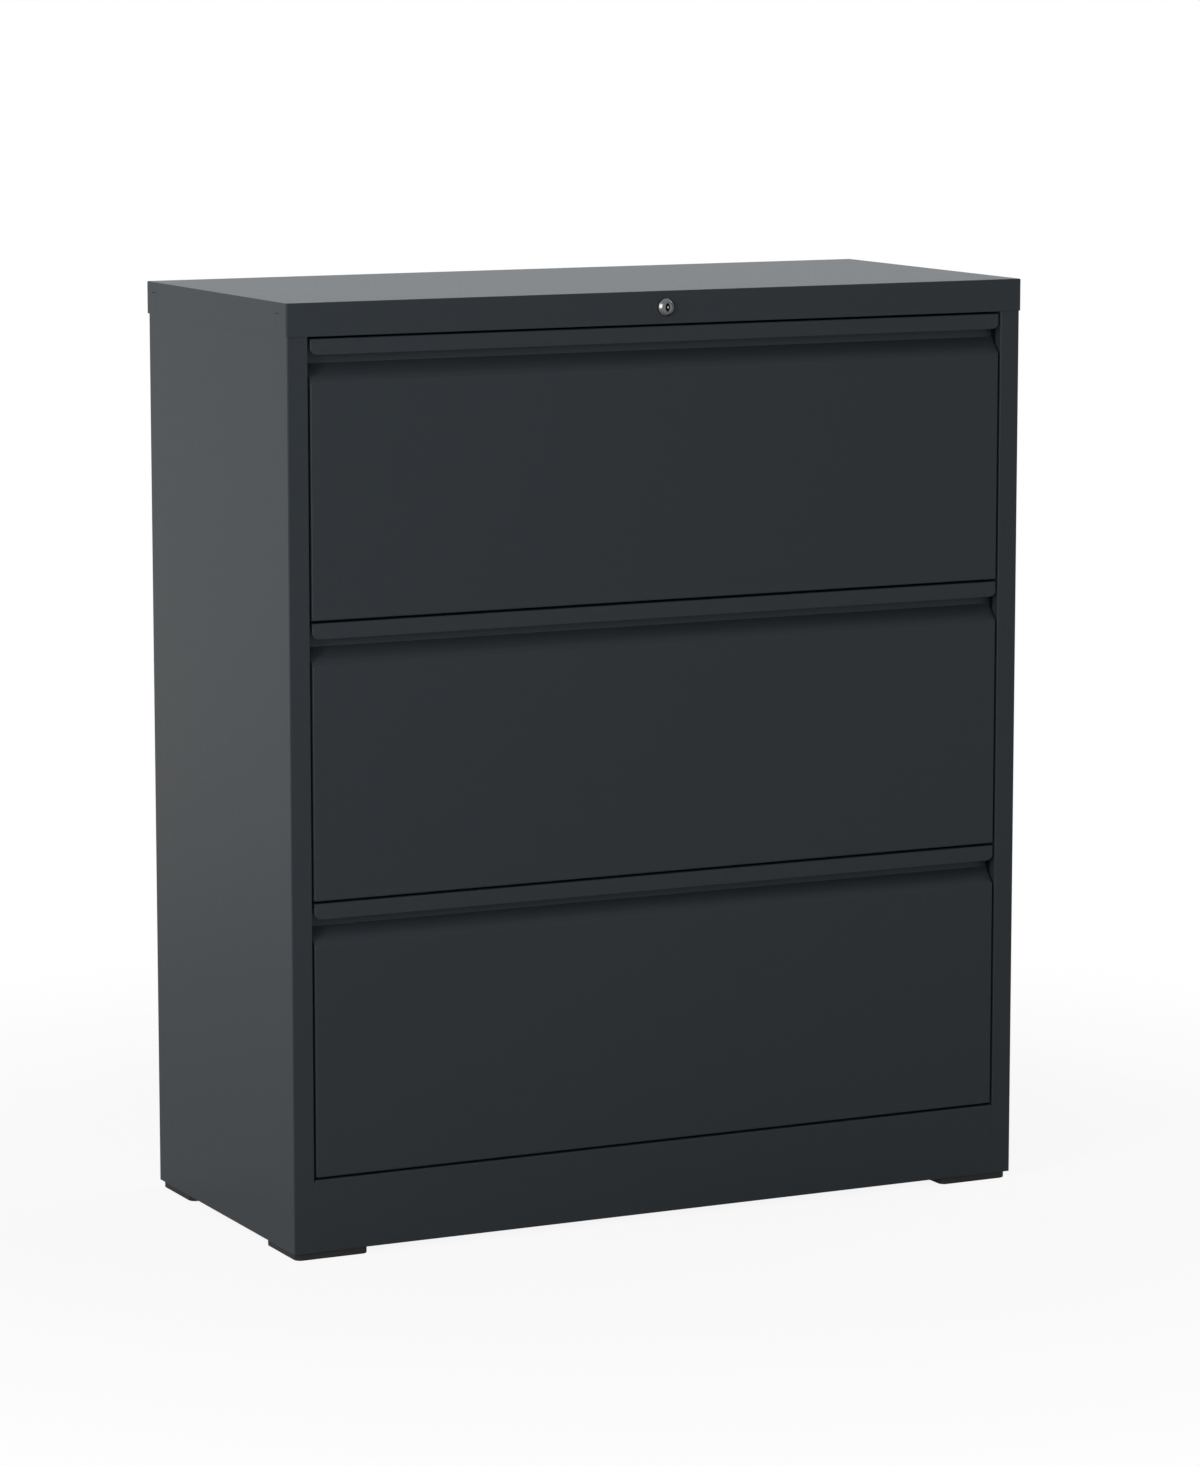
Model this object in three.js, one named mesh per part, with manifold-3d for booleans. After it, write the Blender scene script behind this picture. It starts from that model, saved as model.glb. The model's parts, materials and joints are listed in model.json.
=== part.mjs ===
// Three-drawer lateral filing cabinet in folded sheet steel, in millimetres, +Z up.
// Origin: on the floor, at the middle of the cabinet's width and depth. The front faces -Y.
import * as THREE from "three";
import { mergeVertices } from "three/addons/utils/BufferGeometryUtils.js";
import Module from "manifold-3d";

const wasm = await Module();
wasm.setup();

// Case
const CAP_WIDTH = 900;
const CAP_DEPTH = 400;
const CASE_HEIGHT = 1032; // underside of the base to the top of the cap
const CAP_SKIRT = 36;
const CAP_EDGE = 1.2; // rounding along the cap's top edges
const CAP_CORNER = 2; // rounding of the cap's upright corners
const STILE_WIDTH = 24;
const STILE_RETURN = 12;
const REAR_FLANGE = 20;
const PLINTH_HEIGHT = 80.5;
const PLINTH_TOP_FLANGE = 30;
const PLINTH_FOOT_FLANGE = 12;
const PLINTH_SEAM = 0.4; // open joint between plinth and stile
const RAIL_FLANGE = 20;
const BASE_FLANGE = 25;
const BACK_INSET = 1.5; // back panel's edge inside the case's side

// Sheet
const SHEET = 1;
const BEND = 0.5; // inside radius of a fold
const BEND_STEPS = 3;
const SEAM = 0.25; // gap left between parts that lie against each other

// Feet
const FOOT_HEIGHT = 8;
const FOOT_SIZE = 86;
const FOOT_CORNER = 8;
const FOOT_INSET = 3;

// Drawer fronts
const DRAWERS = ["lower", "middle", "upper"];
const FRONT_GAP = 2.6;
const LIP_HEIGHT = 17;
const LIP_CORNER = 8;
const PULL_DEPTH = 18; // front face to the back of the pull
const PULL_WALL = 10; // back wall of the pull below the lip
const SLANT_HEIGHT = 19;

// Drawer bodies
const INNER_FRONT_MARGIN = 2;
const TRAY_RISE = 12; // tray's floor above the front's lower edge
const TRAY_HEIGHT = 240;
const TRAY_HEM = 5;
const DRAWER_REAR_GAP = 10;
const FILE_BAR_SETBACK = 17.4; // bar's middle inside the tray's end, about 330 between the two
const FILE_BAR_HEIGHT = 22;
const FILE_BAR_STEEL = 1.5;
const FILE_BAR_DROP = 4; // bar's top edge below the tray's hem

// Telescopic slides
const SLIDE_THICKNESS = 12.7;
const SLIDE_STEEL = 1.2;
const SLIDE_FRONT_GAP = 4; // front end behind the lock bar
const SLIDE_REAR_GAP = 5; // rear end inside the drawer's back
const SLIDE_RISE = 62; // slide's middle above the front's lower edge
const SLIDE_BEND = 0.8;
const OUTER_HEIGHT = 45;
const BALL_TRACK = 2.8; // room for the balls between two members' lips
const SLIDE_CLEARANCE = 0.5; // between nested members, across their thickness
const OUTER_LIP = 9.5;

// Slide uprights
const UPRIGHT_WIDTH = 30;
const UPRIGHT_FLANGE = 10;
const UPRIGHT_SETBACK = 1; // face outside the edge of the drawer opening
const UPRIGHT_INSET = 58; // from the case's front and rear faces
const UPRIGHT_HEADROOM = 10;

// Lock
const LOCK_PROUD = 5;
const LOCK_HEAD_RADIUS = 10;
const LOCK_HEAD_ROUND = 3.3;
const LOCK_BODY_RADIUS = 8.75;
const LOCK_BODY_LENGTH = 24;
const LOCK_SIDES = 32;
const LOCK_CLEARANCE = 0.3;
const PLUG_RADIUS = 6;
const PLUG_SUNK = 0.6; // plug's face behind the head's face
const PLUG_TAIL = 6; // square that drives the cam
const KEYWAY_WIDTH = 2;
const KEYWAY_HEIGHT = 7;
const KEYWAY_DEPTH = 12;
const NUT_RADIUS = 13;
const NUT_THICKNESS = 5;
const CAM_THICKNESS = 2;
const CAM_HUB_RADIUS = 7.5;
const CRANK_RADIUS = 8; // lock axis to the cam's pin
const CRANK_REST = -Math.PI / 4; // cam's pin off the upright, drawers free
const LOCK_TURN = Math.PI / 2;
const PIN_RADIUS = 2;
const PIN_CLEARANCE = 0.5;

// Lock link and bar
const LINK_STEEL = 2;
const LINK_GAP = 0.9; // between cam, link and bar, front to back
const LINK_HEIGHT = 12;
const LINK_EDGE = 2.5; // metal left round a slot
const BAR_STEEL = 3;
const BAR_CLEARANCE = 4; // bar to the side panel
const BAR_SETBACK = 0.5; // bar outside the edge of the drawer opening
const BAR_LIFT = 8;
const BAR_PIN_INSET = 5; // bar's pin inside the bar's edge
const BAR_FOOT = 90; // bar's lower end above the lowest front's lower edge
const TAB_STEEL = 2;
const TAB_HEIGHT = 14;
const TAB_CORNER = 2;
const TAB_REACH = 5; // tab's end off the tray's side
const CATCH_RISE = 150; // above the front's lower edge
const CATCH_HEIGHT = 22;
const CATCH_LEG = 16; // part of the catch that lies along the tray
const CATCH_PLAY = 2; // between tab and catch
const CATCH_CLEARANCE = 1.4; // catch inside the edge of the drawer opening
const GUIDE_LENGTH = 30;
const GUIDE_CLEARANCE = 0.5;
const LOWER_GUIDE_MARGIN = 5; // above the bar's lower end
const UPPER_GUIDE_MARGIN = 25; // under the top rail
const LINK_GUIDE_LIP = 4;

// Places worked out from the sizes above. Y counts back from the cap's front face.
const TOP = FOOT_HEIGHT + CASE_HEIGHT;
const CASE_TOP = TOP - SHEET - SEAM;
const SIDE_X = CAP_WIDTH / 2 - SHEET - SEAM;
const SIDE_INNER_X = SIDE_X - SHEET - SEAM;
const FACE_Y = SHEET + SEAM;
const BACK_Y = CAP_DEPTH - SHEET - SEAM;
const REAR_Y = BACK_Y - SHEET - SEAM;
const OPENING_X = SIDE_X - STILE_WIDTH;
const OPENING_BOTTOM = FOOT_HEIGHT + PLINTH_HEIGHT;
const OPENING_TOP = TOP - CAP_SKIRT;
const BASE_TOP = FOOT_HEIGHT + BASE_FLANGE;

const OPENING_HEIGHT = OPENING_TOP - OPENING_BOTTOM;
const FRONT_X = OPENING_X - FRONT_GAP;
const FRONT_HEIGHT = (OPENING_HEIGHT - FRONT_GAP * (DRAWERS.length + 1)) / DRAWERS.length;
const DRAWER_PITCH = FRONT_HEIGHT + FRONT_GAP;
const LOWEST_FRONT = OPENING_BOTTOM + FRONT_GAP;

const UPRIGHT_X = OPENING_X + UPRIGHT_SETBACK;
const OUTER_X = UPRIGHT_X - SEAM;
const MIDDLE_X = OUTER_X - SLIDE_STEEL - SLIDE_CLEARANCE;
const INNER_X = OUTER_X - SLIDE_THICKNESS;
const TRAY_X = INNER_X - SEAM;
const MIDDLE_HEIGHT = OUTER_HEIGHT - 2 * (SLIDE_STEEL + BALL_TRACK);
const INNER_HEIGHT = MIDDLE_HEIGHT - 2 * (SLIDE_STEEL + BALL_TRACK);
const INNER_LIP = MIDDLE_X - SLIDE_STEEL - SLIDE_CLEARANCE - INNER_X;
const MIDDLE_LIP = MIDDLE_X - INNER_X - SLIDE_STEEL - SLIDE_CLEARANCE;

const TRAY_FRONT = PULL_DEPTH + SHEET + 2 * SEAM;
const DRAWER_BACK = REAR_Y - SHEET - DRAWER_REAR_GAP - FACE_Y;
const TRAY_BACK = DRAWER_BACK - SHEET;
const TRAY_TOP = TRAY_RISE + TRAY_HEIGHT;

const LOCK_Z = TOP - CAP_SKIRT / 2;
const CAM_FRONT = LOCK_BODY_LENGTH + LOCK_CLEARANCE;
const CAM_BACK = CAM_FRONT + CAM_THICKNESS;
const LINK_FRONT = CAM_BACK + LINK_GAP;
const LINK_BACK = LINK_FRONT + LINK_STEEL;
const BAR_FRONT = LINK_BACK + LINK_GAP;
const BAR_BACK = BAR_FRONT + BAR_STEEL;
const LINK_TRAVEL = CRANK_RADIUS * (Math.sin(CRANK_REST + LOCK_TURN) - Math.sin(CRANK_REST));
const BAR_INNER_X = OPENING_X + BAR_SETBACK;
const BAR_OUTER_X = SIDE_X - SHEET - BAR_CLEARANCE;
const BAR_PIN_X = BAR_INNER_X + BAR_PIN_INSET;
const TAB_FRONT = BAR_BACK + SEAM;
const TAB_BACK = TAB_FRONT + TAB_STEEL;
const SLIDE_FRONT = BAR_BACK + SLIDE_FRONT_GAP - FACE_Y;
const SLIDE_BACK = DRAWER_BACK - SLIDE_REAR_GAP;

// Finishes
const GRAPHITE_PAINT = { color: 0x36393b, roughness: 0.5, metalness: 0.1 };
const BLACK_PLASTIC = { color: 0x1b1b1c, roughness: 0.6, metalness: 0 };
const ZINC_STEEL = { color: 0xa9adb0, roughness: 0.35, metalness: 0.9 };
const SATIN_NICKEL = { color: 0xc4c4c0, roughness: 0.3, metalness: 1 };
const BRASS = { color: 0xb08d4a, roughness: 0.35, metalness: 1 };

// A closed mesh as a solid that can be cut and joined.
function solidFrom(geometry) {
  const bare = geometry.clone();
  bare.deleteAttribute("normal");
  bare.deleteAttribute("uv");
  const merged = mergeVertices(bare);
  const vertProperties = new Float32Array(merged.attributes.position.array);
  const triVerts = new Uint32Array(merged.index.array);
  return new wasm.Manifold(new wasm.Mesh({ numProp: 3, vertProperties, triVerts }));
}

function geometryFrom(solid) {
  const mesh = solid.getMesh();
  const geometry = new THREE.BufferGeometry();
  geometry.setAttribute("position", new THREE.BufferAttribute(mesh.vertProperties, 3));
  geometry.setIndex(new THREE.BufferAttribute(mesh.triVerts, 1));
  geometry.computeVertexNormals();
  return geometry;
}

function joined(first, ...others) {
  const solid = others.reduce((sum, other) => sum.add(solidFrom(other)), solidFrom(first));
  return geometryFrom(solid);
}

function cut(body, ...tools) {
  const solid = tools.reduce((left, tool) => left.subtract(solidFrom(tool)), solidFrom(body));
  return geometryFrom(solid);
}

// A flat-sided block between two corners.
function block([x0, y0, z0], [x1, y1, z1]) {
  const geometry = new THREE.BoxGeometry(x1 - x0, y1 - y0, z1 - z0);
  return geometry.translate((x0 + x1) / 2, (y0 + y1) / 2, (z0 + z1) / 2);
}

// A round bar along Y.
function barAlongY(radius, y0, y1, x = 0, z = 0, sides = LOCK_SIDES) {
  const geometry = new THREE.CylinderGeometry(radius, radius, y1 - y0, sides);
  return geometry.translate(x, (y0 + y1) / 2, z);
}

const X_AXIS = new THREE.Vector3(1, 0, 0);
const Y_AXIS = new THREE.Vector3(0, 1, 0);
const Z_AXIS = new THREE.Vector3(0, 0, 1);

function extruded(shape, length) {
  return new THREE.ExtrudeGeometry(shape, { depth: length, bevelEnabled: false, curveSegments: BEND_STEPS });
}

// A section drawn as (y, z), run from x0 to x1.
function alongX(shape, x0, x1) {
  const turn = new THREE.Matrix4().makeBasis(Y_AXIS, Z_AXIS, X_AXIS);
  return extruded(shape, x1 - x0).applyMatrix4(turn).translate(x0, 0, 0);
}

// A section drawn as (x, z), run from y0 to y1.
function alongY(shape, y0, y1) {
  const turn = new THREE.Matrix4().makeBasis(X_AXIS, Z_AXIS, Y_AXIS.clone().negate());
  return extruded(shape, y1 - y0).applyMatrix4(turn).translate(0, y1, 0);
}

// A section drawn as (x, y), run from z0 to z1.
function alongZ(shape, z0, z1) {
  return extruded(shape, z1 - z0).translate(0, 0, z0);
}

// Section of a folded sheet: the path is one face, and the metal lies on the path's left.
function folded(path, thickness = SHEET, bend = BEND) {
  const points = path.map(([u, v]) => new THREE.Vector2(u, v));
  const origin = new THREE.Vector2();
  const leftOf = (d) => new THREE.Vector2(-d.y, d.x);
  const directionAt = (i) => points[i + 1].clone().sub(points[i]).normalize();
  const last = points.length - 1;
  const near = [points[0]];
  const far = [points[0].clone().addScaledVector(leftOf(directionAt(0)), thickness)];
  for (let i = 1; i < last; i += 1) {
    const before = directionAt(i - 1);
    const turn = Math.atan2(before.cross(directionAt(i)), before.dot(directionAt(i)));
    const side = Math.sign(turn);
    const nearRadius = side > 0 ? bend + thickness : bend;
    const farRadius = side > 0 ? bend : bend + thickness;
    const run = nearRadius * Math.tan(Math.abs(turn) / 2);
    const centre = points[i].clone().addScaledVector(before, -run);
    centre.addScaledVector(leftOf(before), side * nearRadius);
    for (let step = 0; step <= BEND_STEPS; step += 1) {
      const spoke = leftOf(before).multiplyScalar(-side);
      spoke.rotateAround(origin, (turn * step) / BEND_STEPS);
      near.push(centre.clone().addScaledVector(spoke, nearRadius));
      far.push(centre.clone().addScaledVector(spoke, farRadius));
    }
  }
  near.push(points[last]);
  far.push(points[last].clone().addScaledVector(leftOf(directionAt(last - 1)), thickness));
  return new THREE.Shape([...near, ...far.reverse()]);
}

// The same section on the cabinet's other side.
function mirrored(path) {
  return path.map(([x, other]) => [-x, other]).reverse();
}

// A rectangle with round corners, between two corners.
function roundedRectangle(x0, y0, x1, y1, radius) {
  const shape = new THREE.Shape();
  shape.absarc(x1 - radius, y0 + radius, radius, -Math.PI / 2, 0);
  shape.absarc(x1 - radius, y1 - radius, radius, 0, Math.PI / 2);
  shape.absarc(x0 + radius, y1 - radius, radius, Math.PI / 2, Math.PI);
  shape.absarc(x0 + radius, y0 + radius, radius, Math.PI, Math.PI * 1.5);
  return shape;
}

// A slot with round ends, as an outline in (x, z).
function slotOutline([x0, z0], [x1, z1], radius) {
  const heading = Math.atan2(z1 - z0, x1 - x0);
  const outline = new THREE.Shape();
  outline.absarc(x1, z1, radius, heading - Math.PI / 2, heading + Math.PI / 2);
  outline.absarc(x0, z0, radius, heading + Math.PI / 2, heading + Math.PI * 1.5);
  return outline;
}

function addPart(group, name, geometry, finish) {
  const mesh = new THREE.Mesh(geometry, new THREE.MeshStandardMaterial(finish));
  mesh.name = name;
  group.add(mesh);
  return mesh;
}

// Side panels, each folded round into its front stile and rear flange
function sidePanelPath() {
  return [
    [-SIDE_X + REAR_FLANGE, REAR_Y],
    [-SIDE_X, REAR_Y],
    [-SIDE_X, FACE_Y],
    [-OPENING_X, FACE_Y],
    [-OPENING_X, FACE_Y + STILE_RETURN],
  ];
}

function addSidePanels(group) {
  const left = folded(sidePanelPath());
  const right = folded(mirrored(sidePanelPath()));
  addPart(group, "left_side_panel", alongZ(left, FOOT_HEIGHT, CASE_TOP), GRAPHITE_PAINT);
  addPart(group, "right_side_panel", alongZ(right, FOOT_HEIGHT, CASE_TOP), GRAPHITE_PAINT);
}

function addBackPanel(group) {
  const halfWidth = SIDE_X - BACK_INSET;
  const panel = block([-halfWidth, REAR_Y + SEAM, FOOT_HEIGHT], [halfWidth, BACK_Y, CASE_TOP]);
  addPart(group, "back_panel", panel, GRAPHITE_PAINT);
}

// Cap: a pressed lid with a skirt on all four sides and a hole for the lock
function addTopCap(group) {
  const halfWidth = CAP_WIDTH / 2;
  const corner = CAP_CORNER - CAP_EDGE;
  const farX = halfWidth - CAP_EDGE;
  const outline = roundedRectangle(-farX, CAP_EDGE, farX, CAP_DEPTH - CAP_EDGE, corner);
  const pressed = new THREE.ExtrudeGeometry(outline, {
    depth: CAP_SKIRT,
    curveSegments: BEND_STEPS,
    bevelEnabled: true,
    bevelSize: CAP_EDGE,
    bevelThickness: CAP_EDGE,
    bevelSegments: BEND_STEPS,
  });
  pressed.translate(0, 0, OPENING_TOP - CAP_EDGE);
  const below = block(
    [-CAP_WIDTH, -CAP_DEPTH, OPENING_TOP - CAP_SKIRT],
    [CAP_WIDTH, 2 * CAP_DEPTH, OPENING_TOP],
  );
  const hollow = block(
    [-halfWidth + SHEET, SHEET, OPENING_TOP - CAP_SKIRT],
    [halfWidth - SHEET, CAP_DEPTH - SHEET, TOP - SHEET],
  );
  const lockHole = barAlongY(LOCK_BODY_RADIUS + LOCK_CLEARANCE, -SHEET, 2 * SHEET, 0, LOCK_Z);
  addPart(group, "top_cap", cut(pressed, below, hollow, lockHole), GRAPHITE_PAINT);
}

// Rail behind the cap's front skirt, with the lock through it
function addTopRail(group) {
  const section = folded([
    [FACE_Y + RAIL_FLANGE, CASE_TOP],
    [FACE_Y, CASE_TOP],
    [FACE_Y, OPENING_TOP],
    [FACE_Y + RAIL_FLANGE, OPENING_TOP],
  ]);
  const rail = alongX(section, -OPENING_X + SEAM, OPENING_X - SEAM);
  const lockHole = barAlongY(LOCK_BODY_RADIUS + LOCK_CLEARANCE, 0, FACE_Y + 2 * SHEET, 0, LOCK_Z);
  addPart(group, "top_rail", cut(rail, lockHole), GRAPHITE_PAINT);
}

function addPlinth(group) {
  const section = folded([
    [FACE_Y + PLINTH_TOP_FLANGE, OPENING_BOTTOM],
    [FACE_Y, OPENING_BOTTOM],
    [FACE_Y, FOOT_HEIGHT],
    [FACE_Y + PLINTH_FOOT_FLANGE, FOOT_HEIGHT],
  ]);
  const halfWidth = OPENING_X - PLINTH_SEAM;
  addPart(group, "plinth", alongX(section, -halfWidth, halfWidth), GRAPHITE_PAINT);
}

// Base panel: the cabinet's floor, turned up against both side panels
function addBasePanel(group) {
  const section = folded([
    [-SIDE_INNER_X, BASE_TOP],
    [-SIDE_INNER_X, FOOT_HEIGHT],
    [SIDE_INNER_X, FOOT_HEIGHT],
    [SIDE_INNER_X, BASE_TOP],
  ]);
  const front = FACE_Y + Math.max(STILE_RETURN, PLINTH_FOOT_FLANGE) + SEAM;
  const rear = REAR_Y - SHEET - BEND;
  addPart(group, "base_panel", alongY(section, front, rear), GRAPHITE_PAINT);
}

// Uprights: hat sections on the side panels, which hold the slides out to the opening
function addUprights(group) {
  const faceX = -UPRIGHT_X - SHEET;
  const rows = [
    ["front", FACE_Y + UPRIGHT_INSET],
    ["rear", REAR_Y - UPRIGHT_INSET - UPRIGHT_WIDTH],
  ];
  for (const [row, near] of rows) {
    const far = near + UPRIGHT_WIDTH;
    const path = [
      [-SIDE_INNER_X, far + UPRIGHT_FLANGE],
      [-SIDE_INNER_X, far],
      [faceX, far],
      [faceX, near],
      [-SIDE_INNER_X, near],
      [-SIDE_INNER_X, near - UPRIGHT_FLANGE],
    ];
    for (const [side, sidePath] of [["left", path], ["right", mirrored(path)]]) {
      const upright = alongZ(folded(sidePath), BASE_TOP + SEAM, CASE_TOP - UPRIGHT_HEADROOM);
      addPart(group, `${side}_${row}_upright`, upright, GRAPHITE_PAINT);
    }
  }
}

function addFeet(group) {
  const outerX = SIDE_X - FOOT_INSET;
  const rows = [
    ["front", FACE_Y + FOOT_INSET],
    ["rear", BACK_Y - FOOT_INSET - FOOT_SIZE],
  ];
  for (const [row, near] of rows) {
    for (const [side, x0] of [["left", -outerX], ["right", outerX - FOOT_SIZE]]) {
      const outline = roundedRectangle(x0, near, x0 + FOOT_SIZE, near + FOOT_SIZE, FOOT_CORNER);
      addPart(group, `${side}_${row}_foot`, alongZ(outline, 0, FOOT_HEIGHT - SEAM), BLACK_PLASTIC);
    }
  }
}

// Drawer front: one sheet folded into lip, pull and face, with flanges down both sides and below.
// Here y counts back from the drawer's face and z up from its lower edge.
function drawerFront() {
  const lipBottom = FRONT_HEIGHT - LIP_HEIGHT;
  const slantTop = lipBottom - PULL_WALL;
  const slantBottom = slantTop - SLANT_HEIGHT;
  const wallY = PULL_DEPTH - SHEET;
  const section = folded([
    [SHEET, lipBottom],
    [SHEET, FRONT_HEIGHT - SHEET],
    [wallY, FRONT_HEIGHT - SHEET],
    [wallY, slantTop],
    [0, slantBottom],
    [0, 0],
    [PULL_DEPTH, 0],
  ]);
  const sheet = alongX(section, -FRONT_X, FRONT_X);
  const flangeSection = new THREE.Shape([
    new THREE.Vector2(SHEET / 2, SHEET / 2),
    new THREE.Vector2(PULL_DEPTH, SHEET / 2),
    new THREE.Vector2(PULL_DEPTH, slantTop),
    new THREE.Vector2(wallY, slantTop),
    new THREE.Vector2(SHEET / 2, slantBottom),
  ]);
  const leftFlange = alongX(flangeSection, -FRONT_X, -FRONT_X + SHEET);
  const rightFlange = alongX(flangeSection, FRONT_X - SHEET, FRONT_X);
  const corners = [-1, 1].map((side) => {
    const corner = new THREE.Shape();
    corner.moveTo(side * FRONT_X, lipBottom + LIP_CORNER);
    corner.lineTo(side * (FRONT_X + SHEET), lipBottom + LIP_CORNER);
    corner.lineTo(side * (FRONT_X + SHEET), lipBottom - SHEET);
    corner.lineTo(side * (FRONT_X - LIP_CORNER), lipBottom - SHEET);
    corner.lineTo(side * (FRONT_X - LIP_CORNER), lipBottom);
    const arc = side > 0 ? [-Math.PI / 2, 0, false] : [-Math.PI / 2, -Math.PI, true];
    corner.absarc(side * (FRONT_X - LIP_CORNER), lipBottom + LIP_CORNER, LIP_CORNER, ...arc);
    return alongY(corner, -SHEET, 2 * SHEET);
  });
  return cut(joined(sheet, leftFlange, rightFlange), ...corners);
}

// Tray: sides and bottom folded from one sheet, with the back welded in
function drawerTray() {
  const section = folded([
    [-TRAY_X - TRAY_HEM, TRAY_TOP],
    [-TRAY_X, TRAY_TOP],
    [-TRAY_X, TRAY_RISE],
    [TRAY_X, TRAY_RISE],
    [TRAY_X, TRAY_TOP],
    [TRAY_X + TRAY_HEM, TRAY_TOP],
  ]);
  const back = block([-TRAY_X, TRAY_BACK, TRAY_RISE], [TRAY_X, DRAWER_BACK, TRAY_TOP]);
  return joined(alongY(section, TRAY_FRONT, DRAWER_BACK), back);
}

// Frame that hanging folders hook over: a bar across each end of the tray, joined along its sides
function fileFrame() {
  const sideX = TRAY_X - SHEET - SEAM;
  const top = TRAY_TOP - FILE_BAR_DROP;
  const bottom = top - FILE_BAR_HEIGHT;
  const front = TRAY_FRONT + FILE_BAR_SETBACK - FILE_BAR_STEEL / 2;
  const rear = TRAY_BACK - FILE_BAR_SETBACK + FILE_BAR_STEEL / 2;
  const outside = block([-sideX, front, bottom], [sideX, rear, top]);
  const inside = block(
    [-sideX + FILE_BAR_STEEL, front + FILE_BAR_STEEL, bottom - FILE_BAR_STEEL],
    [sideX - FILE_BAR_STEEL, rear - FILE_BAR_STEEL, top + FILE_BAR_STEEL],
  );
  return cut(outside, inside);
}

// Angle on the tray's right side that the lock bar's tab stops
function lockCatch() {
  const near = TAB_BACK + CATCH_PLAY - FACE_Y;
  const innerX = TRAY_X + SEAM;
  const section = folded([
    [innerX, near + CATCH_LEG],
    [innerX, near],
    [OPENING_X - CATCH_CLEARANCE, near],
  ]);
  return alongZ(section, CATCH_RISE, CATCH_RISE + CATCH_HEIGHT);
}

function addDrawerBody(group, level) {
  const innerX = FRONT_X - INNER_FRONT_MARGIN;
  const innerFront = block(
    [-innerX, PULL_DEPTH + SEAM, INNER_FRONT_MARGIN],
    [innerX, PULL_DEPTH + SEAM + SHEET, FRONT_HEIGHT - INNER_FRONT_MARGIN],
  );
  addPart(group, `${level}_drawer_front`, drawerFront(), GRAPHITE_PAINT);
  addPart(group, `${level}_drawer_inner_front`, innerFront, GRAPHITE_PAINT);
  addPart(group, `${level}_drawer_tray`, drawerTray(), GRAPHITE_PAINT);
  addPart(group, `${level}_file_frame`, fileFrame(), ZINC_STEEL);
  addPart(group, `${level}_lock_catch`, lockCatch(), ZINC_STEEL);
}

// Slides: a channel on the uprights, one inside it, and one on the tray facing the other way
function addSlides(group, level) {
  const channel = (x, lip, height) => [
    [x - lip, SLIDE_RISE - height / 2],
    [x, SLIDE_RISE - height / 2],
    [x, SLIDE_RISE + height / 2],
    [x - lip, SLIDE_RISE + height / 2],
  ];
  const members = {
    outer: channel(OUTER_X, OUTER_LIP, OUTER_HEIGHT),
    middle: channel(MIDDLE_X, MIDDLE_LIP, MIDDLE_HEIGHT),
    inner: channel(INNER_X, -INNER_LIP, INNER_HEIGHT).reverse(),
  };
  for (const [member, path] of Object.entries(members)) {
    for (const [side, sidePath] of [["left", mirrored(path)], ["right", path]]) {
      const section = folded(sidePath, SLIDE_STEEL, SLIDE_BEND);
      const rail = alongY(section, SLIDE_FRONT, SLIDE_BACK);
      addPart(group, `${level}_${side}_slide_${member}`, rail, ZINC_STEEL);
    }
  }
}

// Lock, with y counting back from the cap's front face and its axis at x = 0, z = 0

function addLockCylinder(group) {
  const bore = PLUG_RADIUS + LOCK_CLEARANCE;
  const faceRadius = LOCK_HEAD_RADIUS - LOCK_HEAD_ROUND;
  const profile = [[bore, LOCK_BODY_LENGTH], [LOCK_BODY_RADIUS, LOCK_BODY_LENGTH]];
  profile.push([LOCK_BODY_RADIUS, -SEAM], [LOCK_HEAD_RADIUS, -SEAM]);
  for (let step = 0; step <= BEND_STEPS; step += 1) {
    const angle = (Math.PI / 2) * (step / BEND_STEPS);
    const radius = faceRadius + LOCK_HEAD_ROUND * Math.cos(angle);
    profile.push([radius, -LOCK_PROUD + LOCK_HEAD_ROUND * (1 - Math.sin(angle))]);
  }
  profile.push([bore, -LOCK_PROUD], [bore, LOCK_BODY_LENGTH]);
  const points = profile.map(([radius, y]) => new THREE.Vector2(radius, y)).reverse();
  addPart(group, "lock_cylinder", new THREE.LatheGeometry(points, LOCK_SIDES), SATIN_NICKEL);
}

function addLockPlug(group) {
  const face = -LOCK_PROUD + PLUG_SUNK;
  const barrel = barAlongY(PLUG_RADIUS, face, LOCK_BODY_LENGTH);
  const half = PLUG_TAIL / 2;
  const tail = block([-half, 0, -half], [half, CAM_BACK + LOCK_CLEARANCE, half]);
  const keyway = block(
    [-KEYWAY_WIDTH / 2, face - SHEET, -KEYWAY_HEIGHT / 2],
    [KEYWAY_WIDTH / 2, face + KEYWAY_DEPTH, KEYWAY_HEIGHT / 2],
  );
  addPart(group, "lock_plug", cut(joined(barrel, tail), keyway), SATIN_NICKEL);
}

function addLockNut(group) {
  const front = FACE_Y + SHEET + SEAM;
  const hexagon = barAlongY(NUT_RADIUS, front, front + NUT_THICKNESS, 0, 0, 6);
  const thread = barAlongY(LOCK_BODY_RADIUS + LOCK_CLEARANCE, front - SHEET, front + NUT_THICKNESS + SHEET);
  addPart(group, "lock_nut", cut(hexagon, thread), BRASS);
}

const CRANK_X = CRANK_RADIUS * Math.sin(CRANK_REST);
const CRANK_Z = CRANK_RADIUS * Math.cos(CRANK_REST);

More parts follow.
